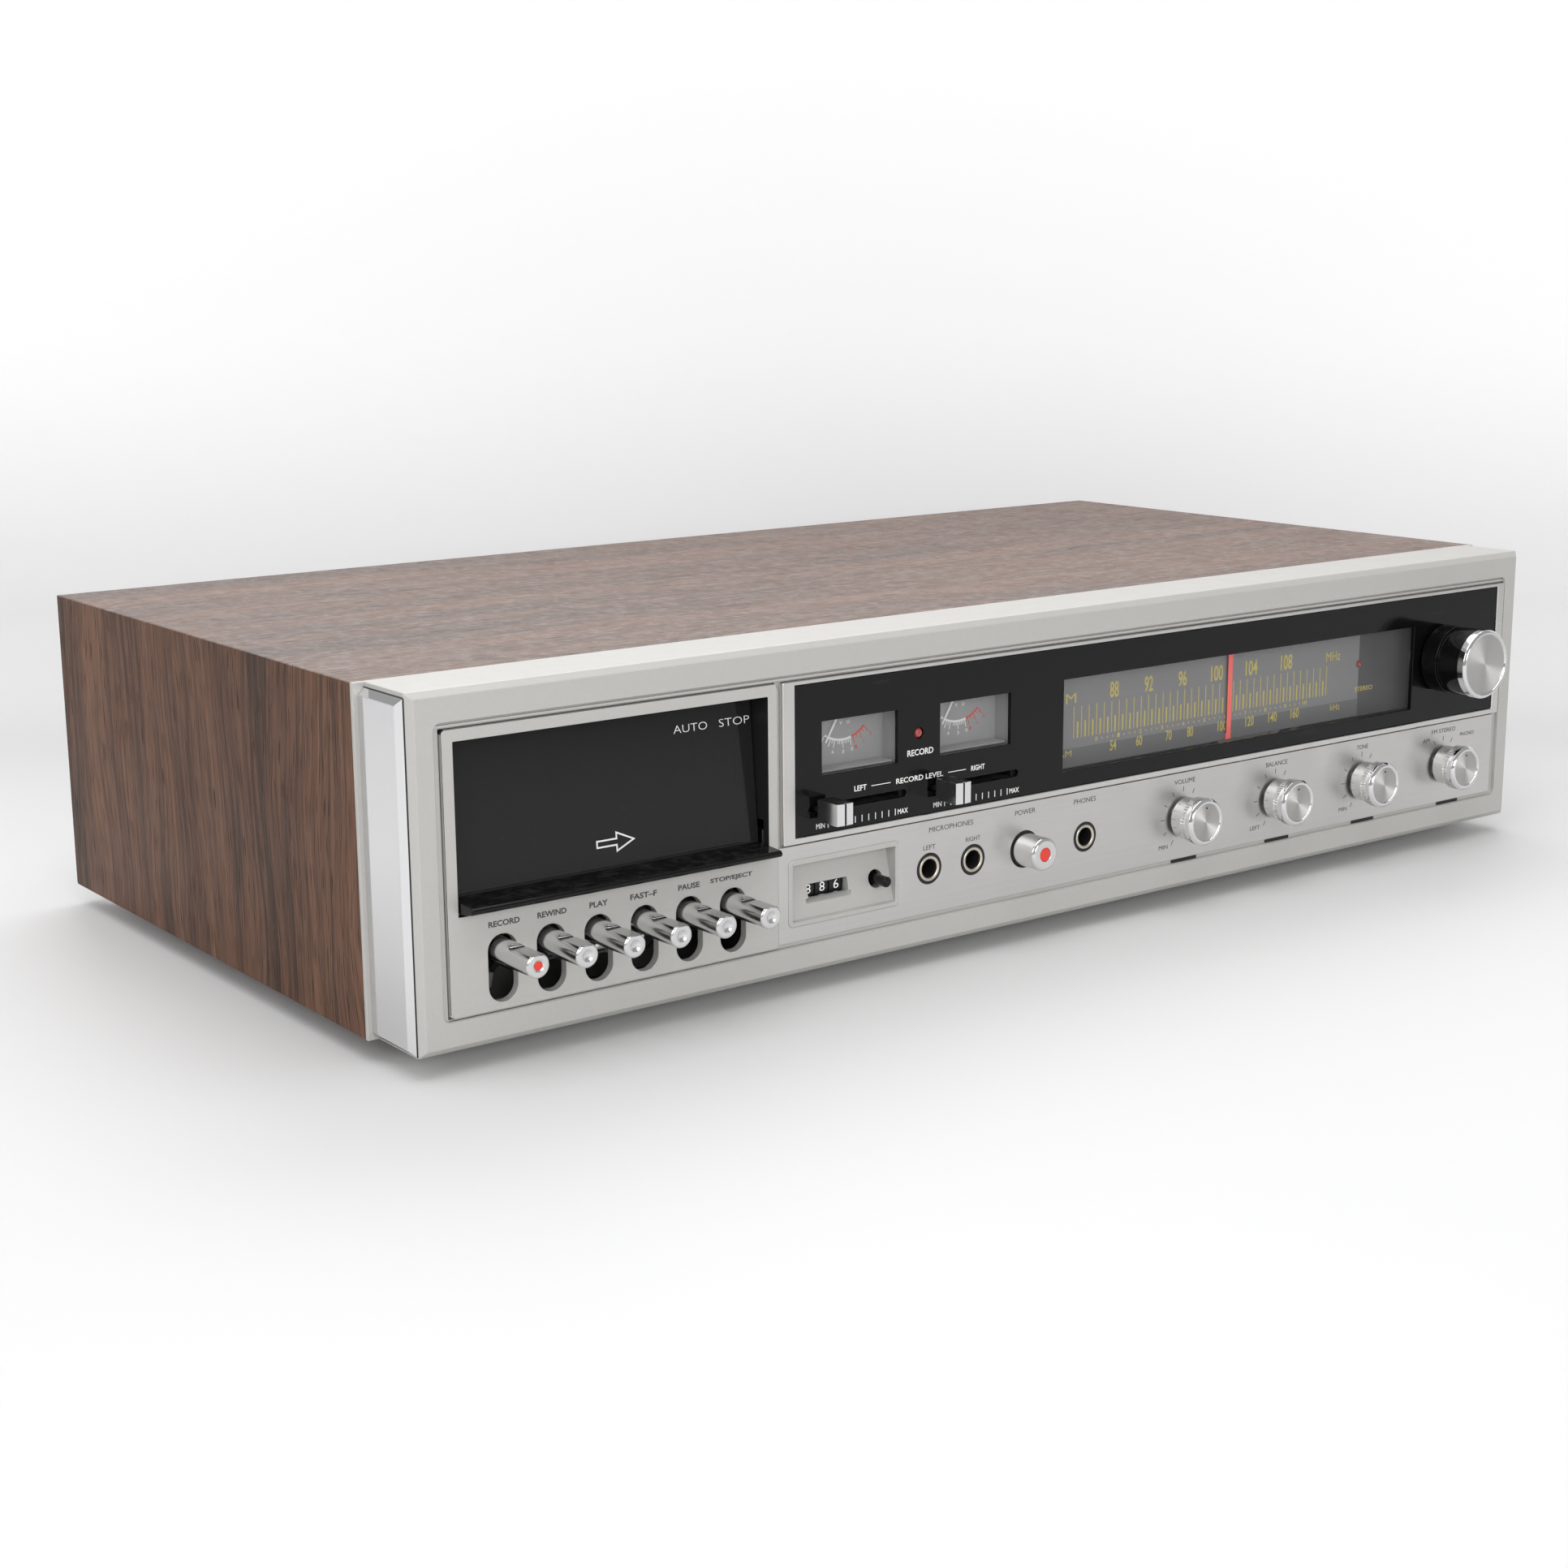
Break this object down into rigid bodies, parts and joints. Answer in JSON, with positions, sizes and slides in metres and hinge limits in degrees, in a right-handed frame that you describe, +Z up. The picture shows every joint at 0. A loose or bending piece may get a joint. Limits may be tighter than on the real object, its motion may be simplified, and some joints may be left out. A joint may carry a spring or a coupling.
{
  "type": "radio cassette recorder",
  "caption": "Shelf-size AM/FM stereo receiver with a front-loading cassette recorder, level meters, tuning dial and rotary controls in a wood-grain cabinet.",
  "frame": {"origin": "centre of the footprint, on the plane the feet stand on", "axes": "+X to the right seen from the front, +Y to the back, +Z up"},
  "size_m": [0.5034, 0.2764, 0.114],
  "materials": {
    "walnut": "wood-grain vinyl over board, satin",
    "steel": "zinc-plated sheet, dull",
    "rear": "black paint, satin",
    "silver_plastic": "silver-painted moulding, fine speckle",
    "chrome": "bright plated",
    "rubber": "dull",
    "window": "smoked, glossy",
    "dark_plastic": "satin black",
    "grey_plastic": "satin",
    "bright_steel": "turned",
    "brass": "turned",
    "black_gloss": "glossy black panel",
    "smoked_lens": "smoked clear sheet",
    "scale_black": "matt black print",
    "pointer_red": "coral red",
    "knob_black": "black, spun end",
    "aluminium": "horizontally brushed",
    "white_plastic": "moulded",
    "cord": "waxed cord",
    "lamp_red": "dull red lamp",
    "board": "printed board with parts",
    "iron": "varnished laminations",
    "plated": "nickel plated"
  },
  "bodies": {
    "cabinet": {"cabinet_sleeve": "walnut", "bottom_pan": "steel", "rear_panel": "rear", "front_bezel": "silver_plastic", "side_trims": "chrome", "feet": "rubber", "deck_panel": "silver_plastic", "door_hinge_pins": "bright_steel", "deck_chassis": "steel", "key_shaft": "bright_steel", "drive_belt": "rubber", "deck_motor": "bright_steel", "dial_frame": "silver_plastic", "dial_panel": "black_gloss", "dial_lens": "smoked_lens", "dial_scale": "scale_black", "dial_cord": "cord", "tuning_capacitor": "steel", "level_meters": "grey_plastic", "indicator_lamps": "lamp_red", "slide_pots": "dark_plastic", "control_strip": "aluminium", "control_units": "dark_plastic", "jack_sockets": "dark_plastic", "counter_dish": "silver_plastic", "main_board": "board", "transformer": "iron", "rear_sockets": "plated"},
    "door": {"deck_door": "window", "cassette_carrier": "grey_plastic"},
    "record_key": {"key_record": "chrome"},
    "rewind_key": {"key_rewind": "chrome"},
    "play_key": {"key_play": "chrome"},
    "fast_key": {"key_fast": "chrome"},
    "pause_key": {"key_pause": "chrome"},
    "stop_key": {"key_stop": "chrome"},
    "latch": {"latch_bar": "steel"},
    "head_carriage": {"head_slide": "steel"},
    "roller": {"pinch_roller": "rubber"},
    "left_reel": {"supply_reel": "white_plastic"},
    "right_reel": {"takeup_reel": "white_plastic"},
    "capstan": {"capstan_flywheel": "bright_steel"},
    "pulley": {"motor_pulley": "brass"},
    "tuner": {"tuning_knob": "knob_black", "tuning_shaft": "bright_steel"},
    "pointer": {"dial_pointer": "pointer_red"},
    "drum": {"cord_drum": "white_plastic"},
    "left_needle": {"needle_left": "white_plastic"},
    "right_needle": {"needle_right": "white_plastic"},
    "left_slider": {"slider_left": "dark_plastic"},
    "right_slider": {"slider_right": "dark_plastic"},
    "power": {"power_button": "chrome"},
    "volume": {"volume_knob": "chrome"},
    "balance": {"balance_knob": "chrome"},
    "tone": {"tone_knob": "chrome"},
    "function": {"function_knob": "chrome"},
    "units_wheel": {"counter_units": "dark_plastic"},
    "tens_wheel": {"counter_tens": "dark_plastic"},
    "hundreds_wheel": {"counter_hundreds": "dark_plastic"},
    "reset": {"counter_reset": "dark_plastic"}
  },
  "joints": [
    {"name": "door_hinge", "type": "hinge", "parent": "cabinet", "child": "door", "pos_m": [-0.1787, -0.10825, 0.037], "axis": [1, 0, 0], "range_deg": [0, 30]},
    {"name": "record_key_press", "type": "hinge", "parent": "cabinet", "child": "record_key", "pos_m": [-0.21995, -0.06225, 0.025], "axis": [1, 0, 0], "range_deg": [0, 11], "stiffness_Nm_per_rad": 0.5, "springref_deg": -8.59},
    {"name": "rewind_key_press", "type": "hinge", "parent": "cabinet", "child": "rewind_key", "pos_m": [-0.20345, -0.06225, 0.025], "axis": [1, 0, 0], "range_deg": [0, 11], "stiffness_Nm_per_rad": 0.5, "springref_deg": -8.59},
    {"name": "play_key_press", "type": "hinge", "parent": "cabinet", "child": "play_key", "pos_m": [-0.18695, -0.06225, 0.025], "axis": [1, 0, 0], "range_deg": [0, 11], "stiffness_Nm_per_rad": 0.5, "springref_deg": -8.59},
    {"name": "fast_key_press", "type": "hinge", "parent": "cabinet", "child": "fast_key", "pos_m": [-0.17045, -0.06225, 0.025], "axis": [1, 0, 0], "range_deg": [0, 11], "stiffness_Nm_per_rad": 0.5, "springref_deg": -8.59},
    {"name": "pause_key_press", "type": "hinge", "parent": "cabinet", "child": "pause_key", "pos_m": [-0.15395, -0.06225, 0.025], "axis": [1, 0, 0], "range_deg": [0, 11], "stiffness_Nm_per_rad": 0.5, "springref_deg": -8.59},
    {"name": "stop_key_press", "type": "hinge", "parent": "cabinet", "child": "stop_key", "pos_m": [-0.13745, -0.06225, 0.025], "axis": [1, 0, 0], "range_deg": [0, 11], "stiffness_Nm_per_rad": 0.5, "springref_deg": -8.59},
    {"name": "latch_slide", "type": "slide", "parent": "cabinet", "child": "latch", "axis": [1, 0, 0], "range_m": [0, 0.0025]},
    {"name": "head_lift", "type": "slide", "parent": "cabinet", "child": "head_carriage", "axis": [0, 0, 1], "range_m": [0, 0.007]},
    {"name": "roller_spin", "type": "hinge", "parent": "head_carriage", "child": "roller", "pos_m": [-0.1622, -0.09625, 0.026], "axis": [0, 1, 0], "continuous": true},
    {"name": "left_reel_spin", "type": "hinge", "parent": "cabinet", "child": "left_reel", "pos_m": [-0.19995, -0.08625, 0.0625], "axis": [0, 1, 0], "continuous": true},
    {"name": "right_reel_spin", "type": "hinge", "parent": "cabinet", "child": "right_reel", "pos_m": [-0.15745, -0.08625, 0.0625], "axis": [0, 1, 0], "continuous": true},
    {"name": "capstan_spin", "type": "hinge", "parent": "cabinet", "child": "capstan", "pos_m": [-0.1622, -0.08125, 0.04055], "axis": [0, 1, 0], "continuous": true},
    {"name": "pulley_spin", "type": "hinge", "parent": "cabinet", "child": "pulley", "pos_m": [-0.2204, -0.05625, 0.0865], "axis": [0, 1, 0], "continuous": true},
    {"name": "tuning_turn", "type": "hinge", "parent": "cabinet", "child": "tuner", "pos_m": [0.2015, -0.11625, 0.0764], "axis": [0, 1, 0], "range_deg": [-1135, 802]},
    {"name": "pointer_slide", "type": "slide", "parent": "cabinet", "child": "pointer", "axis": [1, 0, 0], "range_m": [-0.0793, 0.0561]},
    {"name": "drum_turn", "type": "hinge", "parent": "cabinet", "child": "drum", "pos_m": [0.11, -0.10025, 0.073], "axis": [0, 1, 0], "range_deg": [-182, 129]},
    {"name": "left_needle_swing", "type": "hinge", "parent": "cabinet", "child": "left_needle", "pos_m": [-0.0865, -0.10725, 0.0919], "axis": [0, -1, 0], "range_deg": [0, 66], "stiffness_Nm_per_rad": 0.00002, "springref_deg": -28.65},
    {"name": "right_needle_swing", "type": "hinge", "parent": "cabinet", "child": "right_needle", "pos_m": [-0.0375, -0.10725, 0.0919], "axis": [0, -1, 0], "range_deg": [0, 66], "stiffness_Nm_per_rad": 0.00002, "springref_deg": -28.65},
    {"name": "left_level_slide", "type": "slide", "parent": "cabinet", "child": "left_slider", "axis": [1, 0, 0], "range_m": [0, 0.03]},
    {"name": "right_level_slide", "type": "slide", "parent": "cabinet", "child": "right_slider", "axis": [1, 0, 0], "range_m": [0, 0.03]},
    {"name": "power_press", "type": "slide", "parent": "cabinet", "child": "power", "axis": [0, 1, 0], "range_m": [0, 0.004], "stiffness_N_per_m": 400, "springref_m": -0.002},
    {"name": "volume_turn", "type": "hinge", "parent": "cabinet", "child": "volume", "pos_m": [0.06168, -0.12125, 0.0333], "axis": [0, 1, 0], "range_deg": [-150, 150]},
    {"name": "balance_turn", "type": "hinge", "parent": "cabinet", "child": "balance", "pos_m": [0.11005, -0.12125, 0.0333], "axis": [0, 1, 0], "range_deg": [-150, 150]},
    {"name": "tone_turn", "type": "hinge", "parent": "cabinet", "child": "tone", "pos_m": [0.15843, -0.12125, 0.0333], "axis": [0, 1, 0], "range_deg": [-150, 150]},
    {"name": "function_turn", "type": "hinge", "parent": "cabinet", "child": "function", "pos_m": [0.2068, -0.12125, 0.0333], "axis": [0, 1, 0], "range_deg": [-30, 30]},
    {"name": "units_wheel_turn", "type": "hinge", "parent": "cabinet", "child": "units_wheel", "pos_m": [-0.0975, -0.10275, 0.0326], "axis": [1, 0, 0], "continuous": true},
    {"name": "tens_wheel_turn", "type": "hinge", "parent": "cabinet", "child": "tens_wheel", "pos_m": [-0.0975, -0.10275, 0.0326], "axis": [1, 0, 0], "continuous": true},
    {"name": "hundreds_wheel_turn", "type": "hinge", "parent": "cabinet", "child": "hundreds_wheel", "pos_m": [-0.0975, -0.10275, 0.0326], "axis": [1, 0, 0], "continuous": true},
    {"name": "reset_press", "type": "slide", "parent": "cabinet", "child": "reset", "axis": [0, 1, 0], "range_m": [0, 0.0025], "stiffness_N_per_m": 300, "springref_m": -0.0015}
  ],
  "couplings": [
    {"joint": "latch_slide", "follows": "stop_key_press", "m_per_rad": 0.013},
    {"joint": "head_lift", "follows": "play_key_press", "m_per_rad": 0.03645},
    {"joint": "pulley_spin", "follows": "capstan_spin", "ratio": 5.4},
    {"joint": "pointer_slide", "follows": "tuning_turn", "m_per_rad": 0.004},
    {"joint": "drum_turn", "follows": "tuning_turn", "ratio": 0.16},
    {"joint": "units_wheel_turn", "follows": "right_reel_spin", "ratio": 0.05},
    {"joint": "tens_wheel_turn", "follows": "right_reel_spin", "ratio": 0.005},
    {"joint": "hundreds_wheel_turn", "follows": "right_reel_spin", "ratio": 0.0005}
  ]
}
